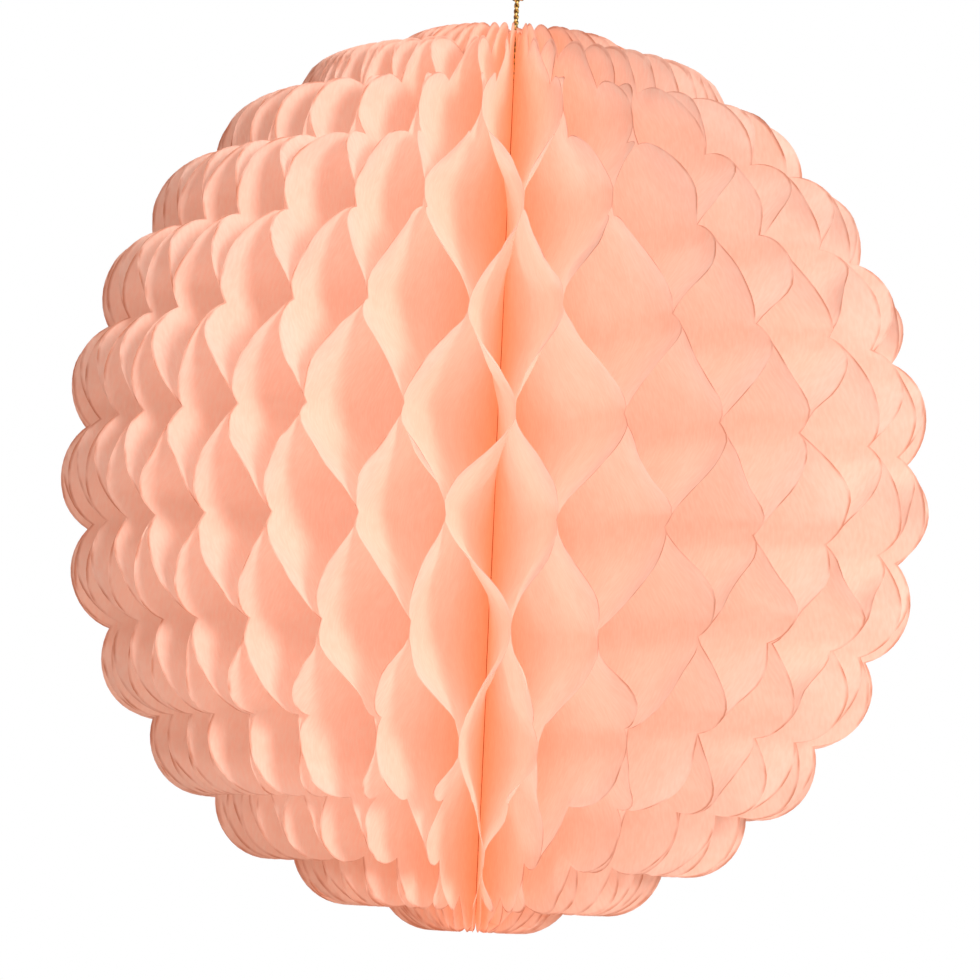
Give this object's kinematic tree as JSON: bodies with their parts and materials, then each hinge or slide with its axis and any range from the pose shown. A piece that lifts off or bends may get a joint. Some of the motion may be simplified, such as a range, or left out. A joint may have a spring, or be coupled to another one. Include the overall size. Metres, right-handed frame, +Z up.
{
  "type": "honeycomb paper ball",
  "caption": "Hanging paper decoration: scalloped tissue leaves, glued to each other in a honeycomb and fanned round a vertical spine into a ball, on a thin twisted cord with a loop.",
  "frame": {"origin": "middle of the ball, on the axis of its spine", "axes": "+Z up along the spine to the cord; -Y towards the viewer and +X to the viewer's right in the picture's front view"},
  "size_m": [0.2374, 0.2374, 0.3046],
  "materials": {
    "tissue": "matt peach tissue that lets some light through",
    "gold_cord": "two-ply twisted cord of metallic gold yarn"
  },
  "bodies": {
    "root": {"honeycomb_paper": "tissue", "cord_stop_knot": "gold_cord", "hanging_cord": "gold_cord", "loop_knot": "gold_cord", "hanging_loop": "gold_cord"}
  },
  "joints": []
}
